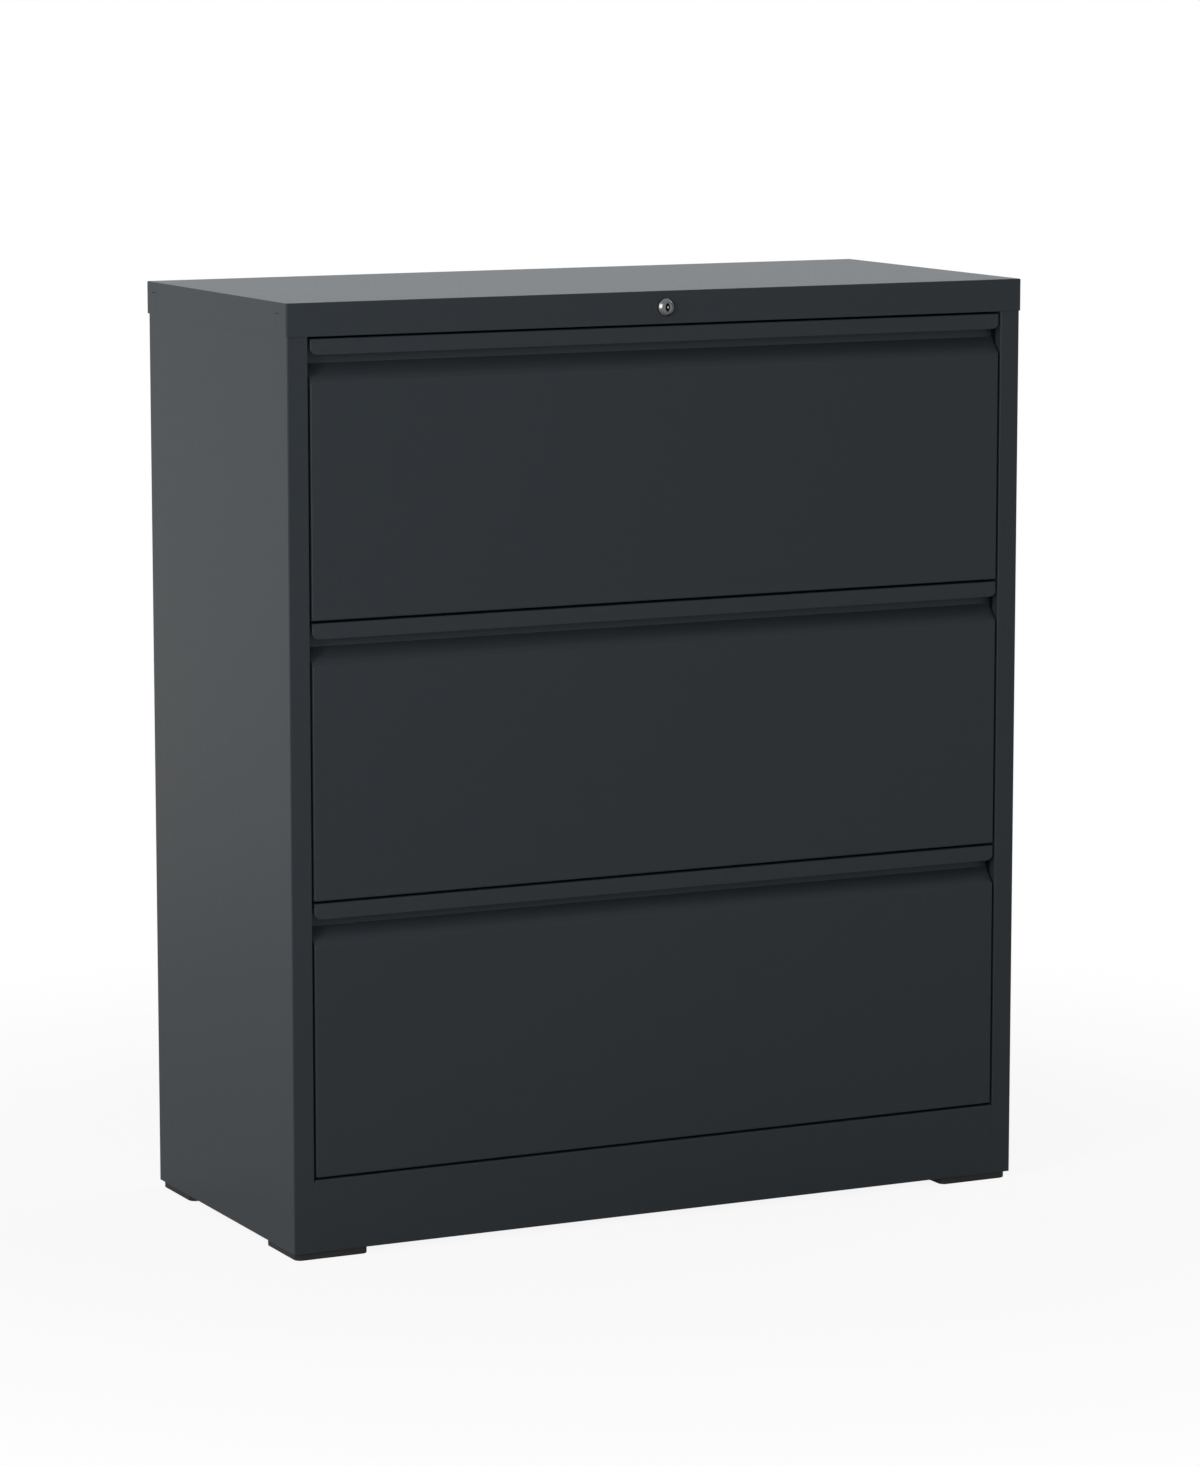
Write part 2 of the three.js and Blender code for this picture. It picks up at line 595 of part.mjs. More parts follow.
function addLockCam(group) {
  const arm = slotOutline([0, 0], [CRANK_X, CRANK_Z], PIN_RADIUS + LINK_EDGE);
  const hub = barAlongY(CAM_HUB_RADIUS, CAM_FRONT, CAM_BACK);
  const pin = barAlongY(PIN_RADIUS, CAM_FRONT, LINK_BACK, CRANK_X, CRANK_Z);
  const half = PLUG_TAIL / 2 + LOCK_CLEARANCE;
  const drive = block([-half, CAM_FRONT - SHEET, -half], [half, CAM_BACK + SHEET, half]);
  const cam = joined(hub, alongY(arm, CAM_FRONT, CAM_BACK), pin);
  addPart(group, "lock_cam", cut(cam, drive), ZINC_STEEL);
}

// Heights of the link: its upright slot takes the cam's pin, its slanted slot lifts the bar's pin.
const SLOT_RADIUS = PIN_RADIUS + PIN_CLEARANCE;
const LINK_Z = CRANK_Z;
const BAR_PIN_REST = LINK_Z - BAR_LIFT / 2;

function addLockLink(group) {
  const pad = SLOT_RADIUS + LINK_EDGE;
  const crankSlot = slotOutline([CRANK_X, CRANK_Z], [CRANK_X, CRANK_RADIUS], SLOT_RADIUS);
  const liftSlot = slotOutline(
    [BAR_PIN_X, BAR_PIN_REST],
    [BAR_PIN_X - LINK_TRAVEL, BAR_PIN_REST + BAR_LIFT],
    SLOT_RADIUS,
  );
  const strip = block(
    [CRANK_X, LINK_FRONT, LINK_Z - LINK_HEIGHT / 2],
    [BAR_PIN_X, LINK_BACK, LINK_Z + LINK_HEIGHT / 2],
  );
  const crankPad = slotOutline([CRANK_X, CRANK_Z], [CRANK_X, CRANK_RADIUS], pad);
  const liftPad = slotOutline(
    [BAR_PIN_X, BAR_PIN_REST],
    [BAR_PIN_X - LINK_TRAVEL, BAR_PIN_REST + BAR_LIFT],
    pad,
  );
  const body = joined(
    strip,
    alongY(crankPad, LINK_FRONT, LINK_BACK),
    alongY(liftPad, LINK_FRONT, LINK_BACK),
  );
  const slots = [crankSlot, liftSlot].map((slot) => alongY(slot, LINK_FRONT - SHEET, LINK_BACK + SHEET));
  addPart(group, "lock_link", cut(body, ...slots), ZINC_STEEL);
}

// Hook under the top rail that carries the link at mid-length
function addLinkGuide(group) {
  const railUnderside = CASE_TOP - SHEET - SEAM - LOCK_Z;
  const bottom = LINK_Z - LINK_HEIGHT / 2 - GUIDE_CLEARANCE;
  const rear = LINK_BACK + GUIDE_CLEARANCE;
  const front = LINK_FRONT - GUIDE_CLEARANCE;
  const section = folded([
    [front, bottom + LINK_GUIDE_LIP],
    [front, bottom],
    [rear, bottom],
    [rear, railUnderside - SHEET],
    [FACE_Y + SHEET + BEND, railUnderside - SHEET],
  ].reverse());
  const middle = BAR_PIN_X / 2;
  const guide = alongX(section, middle - GUIDE_LENGTH / 2, middle + GUIDE_LENGTH / 2);
  addPart(group, "lock_link_guide", guide, ZINC_STEEL);
}

// Vertical bar in the hollow of the right stile, with a tab riveted on for each drawer
function addLockBar(group) {
  const foot = LOWEST_FRONT + BAR_FOOT;
  const head = LOCK_Z + BAR_PIN_REST;
  const crown = head + PIN_RADIUS + LINK_EDGE;
  const strip = block([BAR_INNER_X, BAR_FRONT, foot], [BAR_OUTER_X, BAR_BACK, crown]);
  const pin = barAlongY(PIN_RADIUS, LINK_FRONT, BAR_BACK, BAR_PIN_X, head);
  addPart(group, "lock_bar", joined(strip, pin), ZINC_STEEL);
  DRAWERS.forEach((level, index) => {
    const top = LOWEST_FRONT + index * DRAWER_PITCH + CATCH_RISE - CATCH_PLAY;
    const outline = roundedRectangle(TRAY_X + TAB_REACH, top - TAB_HEIGHT, BAR_OUTER_X, top, TAB_CORNER);
    addPart(group, `${level}_lock_tab`, alongY(outline, TAB_FRONT, TAB_BACK), ZINC_STEEL);
  });
}

// Clips on the right side panel that keep the bar upright
function addBarGuides(group) {
  const section = folded([
    [BAR_INNER_X, BAR_FRONT - GUIDE_CLEARANCE],
    [SIDE_INNER_X - SHEET, BAR_FRONT - GUIDE_CLEARANCE],
    [SIDE_INNER_X - SHEET, BAR_BACK + GUIDE_CLEARANCE],
    [BAR_INNER_X, BAR_BACK + GUIDE_CLEARANCE],
  ].reverse());
  const lower = LOWEST_FRONT + BAR_FOOT + LOWER_GUIDE_MARGIN;
  const upper = OPENING_TOP - UPPER_GUIDE_MARGIN - GUIDE_LENGTH;
  addPart(group, "lock_bar_lower_guide", alongZ(section, lower, lower + GUIDE_LENGTH), ZINC_STEEL);
  addPart(group, "lock_bar_upper_guide", alongZ(section, upper, upper + GUIDE_LENGTH), ZINC_STEEL);
}

// Assembly
const cabinet = new THREE.Group();
cabinet.position.y = (LOCK_PROUD - CAP_DEPTH) / 2;

const caseGroup = new THREE.Group();
addSidePanels(caseGroup);
addBackPanel(caseGroup);
addTopCap(caseGroup);
addTopRail(caseGroup);
addPlinth(caseGroup);
addBasePanel(caseGroup);
addUprights(caseGroup);
addFeet(caseGroup);
cabinet.add(caseGroup);

DRAWERS.forEach((level, index) => {
  const drawer = new THREE.Group();
  drawer.position.set(0, FACE_Y, LOWEST_FRONT + index * DRAWER_PITCH);
  addDrawerBody(drawer, level);
  addSlides(drawer, level);
  cabinet.add(drawer);
});

const lock = new THREE.Group();
lock.position.z = LOCK_Z;
addLockCylinder(lock);
addLockPlug(lock);
addLockNut(lock);
addLockCam(lock);
addLockLink(lock);
addLinkGuide(lock);
cabinet.add(lock);

addLockBar(cabinet);
addBarGuides(cabinet);

export default cabinet;
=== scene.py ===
"""Dresses a lateral filing cabinet with three drawers.

It adds rounded sheet edges, the lock's face, the slides' balls and cages, fasteners and finishes.
"""

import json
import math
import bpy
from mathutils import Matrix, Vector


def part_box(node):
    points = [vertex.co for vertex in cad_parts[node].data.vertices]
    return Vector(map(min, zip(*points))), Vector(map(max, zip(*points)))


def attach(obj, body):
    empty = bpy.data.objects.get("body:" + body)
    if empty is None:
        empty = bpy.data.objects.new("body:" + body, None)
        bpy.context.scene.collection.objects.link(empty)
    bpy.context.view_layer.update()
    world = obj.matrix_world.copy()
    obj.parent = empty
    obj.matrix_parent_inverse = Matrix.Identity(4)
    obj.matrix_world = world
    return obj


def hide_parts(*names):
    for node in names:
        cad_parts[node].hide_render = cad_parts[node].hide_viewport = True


bl_info = {
    "name": "Lateral filing cabinet",
    "version": (1, 0, 0),
    "blender": (4, 5, 0),
    "location": "3D View > Sidebar > Cabinet",
    "description": "Dresses the packed filing cabinet and sets up its studio stage",
    "category": "Object",
}

import bmesh
import bpy
from bpy.props import FloatProperty, FloatVectorProperty, IntProperty, PointerProperty
from mathutils import Vector

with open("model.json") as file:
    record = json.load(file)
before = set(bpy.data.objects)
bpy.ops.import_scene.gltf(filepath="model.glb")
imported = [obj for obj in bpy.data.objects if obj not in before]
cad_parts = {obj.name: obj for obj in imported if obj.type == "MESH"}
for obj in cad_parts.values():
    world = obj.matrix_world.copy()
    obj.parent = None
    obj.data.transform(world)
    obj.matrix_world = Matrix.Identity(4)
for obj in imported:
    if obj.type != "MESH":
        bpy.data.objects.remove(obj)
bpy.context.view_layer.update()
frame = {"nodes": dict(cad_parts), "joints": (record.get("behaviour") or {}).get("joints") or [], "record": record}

MM = 0.001
LEVELS = ("lower", "middle", "upper")
SIDES = (("left", -1), ("right", 1))
ROWS = ("front", "rear")

SLOT = {part["node"]: part["material_slot"] for part in frame["record"]["subparts"]}
BODIES = frame["record"]["behaviour"]["bodies"]
BODY = {node: body for body, nodes in BODIES.items() for node in nodes}
LOCK_TURN = next(joint for joint in frame["joints"] if joint["name"] == "lock_turn")
LOCK_AXIS = Vector(LOCK_TURN["pos_m"])


def colour(label, note, default):
    return FloatVectorProperty(
        name=label, description=note, subtype="COLOR", size=3, min=0, max=1, default=default
    )


def share(label, note, default):
    return FloatProperty(
        name=label, description=note, subtype="FACTOR", min=0, max=1, default=default
    )


def length(label, note, default):
    return FloatProperty(name=label, description=note, unit="LENGTH", min=0, default=default)


def power(label, note, default):
    return FloatProperty(name=label, description=note, unit="POWER", min=0, default=default)


def angle(label, note, default):
    return FloatProperty(name=label, description=note, subtype="ANGLE", default=default)


class CabinetFinish(bpy.types.PropertyGroup):
    """Colours and gloss of the cabinet's finishes, with the painted shade of the key slot."""

    paint: colour(
        "Powder coat", "Graphite powder coat on the sheet steel", (0.0262, 0.0316, 0.0362)
    )
    paint_roughness: share("Coat roughness", "Middle roughness of the powder coat", 0.355)
    paint_gloss: share("Coat gloss", "Specular level of the powder coat", 0.14)
    plastic: colour("Foot plastic", "Moulded plastic of the feet", (0.016, 0.016, 0.0165))
    zinc: colour("Zinc plate", "Plated slides, file frames and lock parts", (0.5, 0.52, 0.53))
    nickel: colour("Satin nickel", "Lock cylinder and plug", (0.15, 0.15, 0.15))
    # The key slot's colour is painted shade: a near-black that stands in for the shade inside the slot.
    keyway_shade: colour("Keyway", "Unlit metal inside the key's slot", (0.012, 0.012, 0.012))
    brass: colour("Brass", "Lock nut", (0.5, 0.33, 0.11))
    steel: colour("Ball steel", "Hardened balls of the slides", (0.6, 0.6, 0.6))
    orange_peel: length("Orange peel", "Width of the dimples in the powder coat", 0.0011)


class CabinetSizes(bpy.types.PropertyGroup):
    """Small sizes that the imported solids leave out."""

    sheet_edge: length("Sheet edge", "Rounding of cut sheet edges under the paint", 0.00028)
    front_edge: length("Front edge", "Rounding down the sides of a drawer front", 0.0016)
    slide_edge: length("Slide edge", "Rounding of the slide members' edges", 0.0002)
    foot_edge: length("Foot edge", "Rounding round the bottom of a foot", 0.0009)
    cap_slit: length("Cap slit", "Width of the slit over each of the cap's lanced tabs", 0.0009)
    weld_dip: length("Weld dip", "Depth of the ground welds beside the plinth", 0.00013)
    head_slope: length("Lock slope", "Depth of the sloping rim of the lock's head", 0.0035)
    screw_head: length("Screw head", "Diameter of a pan head", 0.008)
    rivet_head: length("Rivet head", "Diameter of a rivet's head", 0.0055)
    ball_pitch: length("Ball pitch", "Spacing of the balls in a slide's cage", 0.009)
    ball_count: IntProperty(
        name="Balls", description="Balls in each row of a cage", min=2, default=14
    )


class CabinetStage(bpy.types.PropertyGroup):
    """Floor, light and camera of the studio."""

    floor: colour("Floor", "Pale studio floor", (0.86, 0.86, 0.86))
    shadow: share("Shadow", "How much of the floor's own shading shows near the cabinet", 0.1)
    fill: share("Fill", "Strength of the white surround on matt surfaces", 0.2)
    key_power: power("Key light", "Power of the softbox at the left front", 58)
    strip_power: power("Strip light", "Power of the tall softbox at the left", 48)
    edge_power: power("Edge light", "Power of the slim light that draws the left edges", 15)
    right_power: power("Right light", "Power of the softbox at the right rear", 58)
    tint: colour("Surround", "Cool white of the surround, as the cabinet sees it", (0.925, 0.97, 1))
    lens: FloatProperty(
        name="Lens", description="Focal length", subtype="DISTANCE_CAMERA", min=1, default=130.99
    )
    camera: FloatVectorProperty(
        name="Camera", description="Where the camera stands", subtype="TRANSLATION",
        size=3, default=(-2.64579, -5.39592, 1.438),
    )
    tilt: angle("Tilt", "Camera's tilt below level", 0.15087)
    swing: angle("Swing", "Camera's swing to the right", 0.45843)


def finish_values():
    return bpy.context.scene.cabinet_finish


def sizes():
    return bpy.context.scene.cabinet_sizes


def put(tree, kind, inputs=None, **settings):
    """A node with its settings and inputs; an input may be a value or another node's output."""
    made = tree.nodes.new(kind)
    for name, value in settings.items():
        setattr(made, name, value)
    for key, value in (inputs or {}).items():
        if isinstance(value, bpy.types.NodeSocket):
            tree.links.new(value, made.inputs[key])
        else:
            made.inputs[key].default_value = value
    return made


def math_node(tree, operation, *values):
    return put(tree, "ShaderNodeMath", dict(enumerate(values)), operation=operation).outputs[0]


def mixed_colour(tree, factor, first, second):
    # The mix node's sockets go by number, because those of its other kinds have the same names.
    inputs = {0: factor, 6: (*first, 1), 7: (*second, 1)}
    return put(tree, "ShaderNodeMix", inputs, data_type="RGBA").outputs[2]


def new_material(name, metallic=0.0, gloss=0.5):
    """A material, its node tree and its shader; gloss is the shader's specular level."""
    material = bpy.data.materials.new(name)
    material.use_nodes = True
    shader = material.node_tree.nodes["Principled BSDF"]
    shader.inputs["Metallic"].default_value = metallic
    shader.inputs["Specular IOR Level"].default_value = gloss
    return material, material.node_tree, shader


def noise(tree, size, stretch=(1, 1, 1), detail=2.0):
    """Noise with features of a given size in metres, in the cabinet's own frame."""
    place = put(tree, "ShaderNodeTexCoord").outputs["Object"]
    scaled = put(tree, "ShaderNodeMapping", {"Vector": place, "Scale": stretch}).outputs["Vector"]
    inputs = {"Vector": scaled, "Scale": 1 / size, "Detail": detail}
    return put(tree, "ShaderNodeTexNoise", inputs).outputs["Fac"]


def ring_grain(tree, size):
    """Fine rings round the lock's axis, as turning leaves them."""
    place = put(tree, "ShaderNodeTexCoord").outputs["Object"]
    shift = {"Vector": place, "Location": (-LOCK_AXIS.x, 0, -LOCK_AXIS.z), "Scale": (1, 0, 1)}
    across = put(tree, "ShaderNodeMapping", shift).outputs["Vector"]
    radius = put(tree, "ShaderNodeVectorMath", {0: across}, operation="LENGTH").outputs["Value"]
    inputs = {"W": radius, "Scale": 1 / size, "Detail": 2.0}
    return put(tree, "ShaderNodeTexNoise", inputs, noise_dimensions="1D").outputs["Fac"]


def tone(tree, shader, pattern, middle, spread):
    """Varies the shader's colour with a pattern, by a share of its middle tone each way."""
    darker = [c * (1 - spread) for c in middle]
    lighter = [c * (1 + spread) for c in middle]
    tree.links.new(mixed_colour(tree, pattern, darker, lighter), shader.inputs["Base Color"])


NOISE_RANGE = {"From Min": 0.3, "From Max": 0.7}  # nearly all noise lies between these


def roughen(tree, shader, pattern, low, high):
    """Runs the shader's roughness from low to high as a pattern goes from dark to light."""
    inputs = {"Value": pattern, **NOISE_RANGE, "To Min": low, "To Max": high}
    ranged = put(tree, "ShaderNodeMapRange", inputs).outputs["Result"]
    tree.links.new(ranged, shader.inputs["Roughness"])


def dimple(tree, shader, pattern, strength, depth):
    inputs = {"Strength": strength, "Distance": depth, "Height": pattern}
    bump = put(tree, "ShaderNodeBump", inputs).outputs["Normal"]
    tree.links.new(bump, shader.inputs["Normal"])


def graphite_paint():
    values = finish_values()
    material, tree, shader = new_material("graphite_powder_coat", gloss=values.paint_gloss)
    middle, either_way = values.paint_roughness, 0.02
    tone(tree, shader, noise(tree, size=6 * MM), values.paint, spread=0.03)
    roughen(tree, shader, noise(tree, size=3 * MM), middle - either_way, middle + either_way)
    dimple(tree, shader, noise(tree, values.orange_peel), strength=0.12, depth=0.06 * MM)
    return material


def black_plastic():
    material, tree, shader = new_material("moulded_black_plastic", gloss=0.25)
    tone(tree, shader, noise(tree, size=10 * MM), finish_values().plastic, spread=0.12)
    roughen(tree, shader, noise(tree, size=4 * MM), low=0.5, high=0.64)
    dimple(tree, shader, noise(tree, size=0.6 * MM), strength=0.3, depth=0.05 * MM)
    return material


def zinc_steel():
    material, tree, shader = new_material("bright_zinc", metallic=1.0)
    grain = noise(tree, size=0.8 * MM, stretch=(1, 0.02, 1), detail=3.0)
    tone(tree, shader, noise(tree, size=12 * MM), finish_values().zinc, spread=0.08)
    roughen(tree, shader, grain, low=0.3, high=0.44)
    dimple(tree, shader, grain, strength=0.12, depth=0.04 * MM)
    return material


def satin_nickel():
    material, tree, shader = new_material("satin_nickel", metallic=1.0)
    rings = ring_grain(tree, size=0.3 * MM)
    tone(tree, shader, rings, finish_values().nickel, spread=0.08)
    roughen(tree, shader, rings, low=0.14, high=0.22)
    dimple(tree, shader, rings, strength=0.06, depth=0.03 * MM)
    return material


def brass():
    material, tree, shader = new_material("turned_brass", metallic=1.0)
    rings = ring_grain(tree, size=0.4 * MM)
    tone(tree, shader, rings, finish_values().brass, spread=0.1)
    roughen(tree, shader, rings, low=0.25, high=0.4)
    return material


# Painted shade: a near-black finish on the key slot's walls stands in for the shade that falls inside the slot.
def dark_keyway():
    material, tree, shader = new_material("dark_keyway", gloss=0.1)
    tone(tree, shader, noise(tree, size=0.8 * MM), finish_values().keyway_shade, spread=0.2)
    roughen(tree, shader, noise(tree, size=0.5 * MM), low=0.5, high=0.7)
    return material


def ball_steel():
    material, tree, shader = new_material("ball_steel", metallic=1.0)
    tone(tree, shader, noise(tree, size=2 * MM), finish_values().steel, spread=0.05)
    roughen(tree, shader, noise(tree, size=1 * MM), low=0.08, high=0.16)
    return material


FINISHES = {
    "graphite_paint": graphite_paint,
    "black_plastic": black_plastic,
    "zinc_steel": zinc_steel,
    "satin_nickel": satin_nickel,
    "brass": brass,
    "dark_keyway": dark_keyway,
    "ball_steel": ball_steel,
}
made_finishes = {}


def finish(name):
    """The named finish, made once."""
    if name not in made_finishes:
        made_finishes[name] = FINISHES[name]()
    return made_finishes[name]


def new_object(name, mesh):
    made = bpy.data.objects.new(name, mesh)
    bpy.context.scene.collection.objects.link(made)
    return made


def mesh_from(shape, name):
    mesh = bpy.data.meshes.new(name)
    shape.to_mesh(mesh)
    shape.free()
    return mesh


def discard(tool):
    """Removes an object that has done its work, with its mesh."""
    mesh = tool.data
    bpy.data.objects.remove(tool)
    bpy.data.meshes.remove(mesh)


def bake(piece):
    """Keeps what the piece's modifiers make as its plain mesh."""
    graph = bpy.context.evaluated_depsgraph_get()
    mesh = bpy.data.meshes.new_from_object(
        piece.evaluated_get(graph), preserve_all_data_layers=True, depsgraph=graph
    )
    worn = piece.data
    piece.modifiers.clear()
    piece.data = mesh
    bpy.data.meshes.remove(worn)


SHARP = math.radians(50)  # edges past this angle are rounded, and shaded as edges
BROAD = 90  # weight of broad faces in the shading, where 50 is even
ROUNDING_STEPS = 2  # across a rounded edge


def merge_flat(shape, angle_limit):
    """Joins faces of one material that lie flat within an angle in degrees."""
    bmesh.ops.dissolve_limit(
        shape, angle_limit=math.radians(angle_limit), verts=shape.verts, edges=shape.edges,
        use_dissolve_boundaries=False, delimit={"MATERIAL"},
    )


def even_shading(piece, heights=()):
    """Smooth shading in which the broad faces stay flat.

    Edges round the piece at these heights keep the shading of long roundings apart from what
    lies at their ends.
    """
    shape = bmesh.new()
    shape.from_mesh(piece.data)
    merge_flat(shape, 0.2)
    for height in heights:
        everything = [*shape.verts, *shape.edges, *shape.faces]
        bmesh.ops.bisect_plane(shape, geom=everything, plane_co=(0, 0, height), plane_no=(0, 0, 1))
    shape.to_mesh(piece.data)
    shape.free()
    piece.data.shade_smooth()
    piece.data.set_sharp_from_angle(angle=SHARP)
    weighting = piece.modifiers.new("Even shading", "WEIGHTED_NORMAL")
    weighting.weight = BROAD
    weighting.keep_sharp = True
    bake(piece)


def carve(piece, tool, operation="DIFFERENCE", finishes="INDEX"):
    """Cuts the piece with a tool, which is used up; TRANSFER gives the cut the tool's finish."""
    cut = piece.modifiers.new("Cut", "BOOLEAN")
    cut.operation = operation
    cut.solver = "EXACT"
    cut.material_mode = finishes
    cut.object = tool
    bake(piece)
    discard(tool)


def settle(piece, body, slot, *nodes):
    """Puts the finished piece on its body, in place of the nodes it stands for."""
    if not piece.data.materials:
        piece.data.materials.append(finish(slot))
    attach(piece, body)
    if nodes:
        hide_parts(*nodes)


def complete(piece, node, heights=()):
    """Shades a finished piece and puts it in its CAD node's place."""
    even_shading(piece, heights)
    settle(piece, BODY[node], SLOT[node], node)


def softened(node, width):
    """A copy of a CAD node's shape with its sharp edges rounded."""
    shape = bmesh.new()
    shape.from_mesh(frame["nodes"][node].data)
    bmesh.ops.remove_doubles(shape, verts=shape.verts, dist=0.01 * MM)
    merge_flat(shape, 0.5)
    edges = [e for e in shape.edges if len(e.link_faces) == 2 and e.calc_face_angle() > SHARP]
    bmesh.ops.bevel(
        shape, geom=edges, offset=width, offset_type="OFFSET", segments=ROUNDING_STEPS,
        profile=0.5, affect="EDGES", clamp_overlap=True, material=-1,
    )
    return new_object(f"{node}_finished", mesh_from(shape, node))


def soften(node, width):
    """Replaces a CAD node by its own shape with rounded edges and its finish."""
    complete(softened(node, width), node)


def arc(centre, radius, start, end, steps):
    """Points of an arc, angles in degrees."""
    angles = [math.radians(start + (end - start) * step / steps) for step in range(steps + 1)]
    return [(centre[0] + radius * math.cos(a), centre[1] + radius * math.sin(a)) for a in angles]


def loft(shape, rings):
    """Adds faces from ring to ring of points, with both end rings closed."""
    rows = [[shape.verts.new(point) for point in ring] for ring in rings]
    faces = [shape.faces.new(rows[0]), shape.faces.new(rows[-1])]
    for first, second in zip(rows, rows[1:]):
        for i in range(len(first)):
            j = (i + 1) % len(first)
            faces.append(shape.faces.new((first[i], first[j], second[j], second[i])))
    bmesh.ops.recalc_face_normals(shape, faces=faces)


def lofted(name, rings):
    """A solid through rings of points."""
    shape = bmesh.new()
    loft(shape, rings)
    return new_object(name, mesh_from(shape, name))


def outline_prism(name, outline, low, high):
    """A solid from an outline in X and Y, between two heights."""
    return lofted(name, [[(x, y, z) for x, y in outline] for z in (low, high)])


def block(name, low, high):
    """A solid between two corners."""
    outline = [(low[0], low[1]), (high[0], low[1]), (high[0], high[1]), (low[0], high[1])]
    return outline_prism(name, outline, low[2], high[2])


def turned(name, profile, centre, sides=64):
    """A solid turned about a line along Y.

    The profile has rows of radius and y, from axis to axis or as a closed ring.
    """
    shape = bmesh.new()
    rings = []
    for radius, y in profile:
        if radius == 0:
            rings.append([shape.verts.new((centre.x, y, centre.z))])
            continue
        circle = arc((centre.x, centre.z), radius, 0, 360, sides)[:-1]
        rings.append([shape.verts.new((x, y, z)) for x, z in circle])
    pairs = list(zip(rings, rings[1:]))
    if len(rings[0]) > 1:
        pairs.append((rings[-1], rings[0]))
    for first, second in pairs:
        for i in range(sides):
            j = (i + 1) % sides
            around = ((first, i), (first, j), (second, j), (second, i))
            corners = dict.fromkeys(ring[k % len(ring)] for ring, k in around)
            shape.faces.new(list(corners))
    bmesh.ops.recalc_face_normals(shape, faces=shape.faces)
    return new_object(name, mesh_from(shape, name))


class CABINET_OT_stage(bpy.types.Operator):
    """Set up the pale floor, the soft light and the camera"""

    bl_idname = "cabinet.stage"
    bl_label = "Studio stage"

    # Each softbox: its name, its place, its width and height, and the setting with its power.
    softboxes = (
        ("key_light", (-2.6, -4.2, 2.4), (2.4, 1.8), "key_power"),
        ("strip_light", (-3.3, -1.8, 1.75), (1.3, 3.2), "strip_power"),
        ("edge_light", (-2.9, -1.6, 1.4), (0.2, 1.6), "edge_power"),
        ("right_light", (4.1, 1.2, 2.4), (2.2, 2.2), "right_power"),
    )
    aim = (0, 0, 0.6)  # where the softboxes point
    floor_reach = 20.0
    floor_depth = 0.02
    floor_drop = 0.1 * MM  # keeps the floor clear of the feet
    sensor = 36
    sight = 200  # how far the camera sees

    def execute(self, context):
        values = context.scene.cabinet_stage
        context.scene.view_settings.view_transform = "Standard"
        self.surround(context, values)
        self.floor(values)
        for name, place, size, setting in self.softboxes:
            self.softbox(context, name, place, size, getattr(values, setting))
        self.camera(context, values)
        return {"FINISHED"}

    def surround(self, context, values):
        world = bpy.data.worlds.new("white_surround")
        context.scene.world = world
        world.use_nodes = True
        tree = world.node_tree
        background = tree.nodes["Background"].inputs
        rays = put(tree, "ShaderNodeLightPath").outputs
        white = mixed_colour(tree, rays["Is Camera Ray"], values.tint, (1, 1, 1))
        tree.links.new(white, background["Color"])
        seen = math_node(tree, "MAXIMUM", rays["Is Camera Ray"], rays["Is Glossy Ray"])
        seen = math_node(tree, "MAXIMUM", seen, rays["Is Transmission Ray"])
        strength = math_node(tree, "MULTIPLY_ADD", seen, 1 - values.fill, values.fill)
        tree.links.new(strength, background["Strength"])

    def floor(self, values):
        reach, base, top = self.floor_reach, -self.floor_depth, -self.floor_drop
        floor = block("studio_floor", (-reach, -reach, base), (reach, reach, top))
        material = bpy.data.materials.new("pale_floor")
        material.use_nodes = True
        tree = material.node_tree
        tree.nodes.remove(tree.nodes["Principled BSDF"])
        matt = put(tree, "ShaderNodeBsdfDiffuse", {"Color": (*values.floor, 1)}).outputs[0]
        light = {"Color": (1, 1, 1, 1), "Strength": 1.0}
        white = put(tree, "ShaderNodeEmission", light).outputs[0]
        rays = put(tree, "ShaderNodeLightPath").outputs
        straight = math_node(tree, "MAXIMUM", rays["Is Camera Ray"], rays["Is Transmission Ray"])
        whiter = self.whiter(tree, near=0.6, far=1.6, start=1 - values.shadow)
        straight = math_node(tree, "MULTIPLY", straight, whiter)
        whiter = self.whiter(tree, near=0.4, far=4.0, start=0.25)
        mirrored = math_node(tree, "MULTIPLY", rays["Is Glossy Ray"], whiter)
        seen = math_node(tree, "MAXIMUM", straight, mirrored)
        mixed = put(tree, "ShaderNodeMixShader", {0: seen, 1: matt, 2: white}).outputs[0]
        tree.links.new(mixed, tree.nodes["Material Output"].inputs["Surface"])
        floor.data.materials.append(material)

    def whiter(self, tree, near, far, start):
        """White takes over from the floor's own shading between two distances from its middle."""
        place = put(tree, "ShaderNodeTexCoord").outputs["Object"]
        reach = put(tree, "ShaderNodeVectorMath", {0: place}, operation="LENGTH").outputs["Value"]
        fade = {"Value": reach, "From Min": near, "From Max": far, "To Min": start, "To Max": 1.0}
        ranged = put(tree, "ShaderNodeMapRange", fade, interpolation_type="SMOOTHSTEP")
        return ranged.outputs["Result"]

    def softbox(self, context, name, place, size, watts):
        lamp = bpy.data.lights.new(name, "AREA")
        lamp.shape = "RECTANGLE"
        lamp.size, lamp.size_y = size
        lamp.energy = watts
        softbox = bpy.data.objects.new(name, lamp)
        context.scene.collection.objects.link(softbox)
        softbox.location = place
        facing = Vector(self.aim) - softbox.location
        softbox.rotation_euler = facing.to_track_quat("-Z", "Y").to_euler()

    def camera(self, context, values):
        lens = bpy.data.cameras.new("camera")
        lens.sensor_width = self.sensor
        lens.lens = values.lens
        lens.clip_end = self.sight
        camera = bpy.data.objects.new("camera", lens)
        context.scene.collection.objects.link(camera)
        camera.location = values.camera
        camera.rotation_euler = (math.pi / 2 - values.tilt, 0, -values.swing)
        context.scene.camera = camera


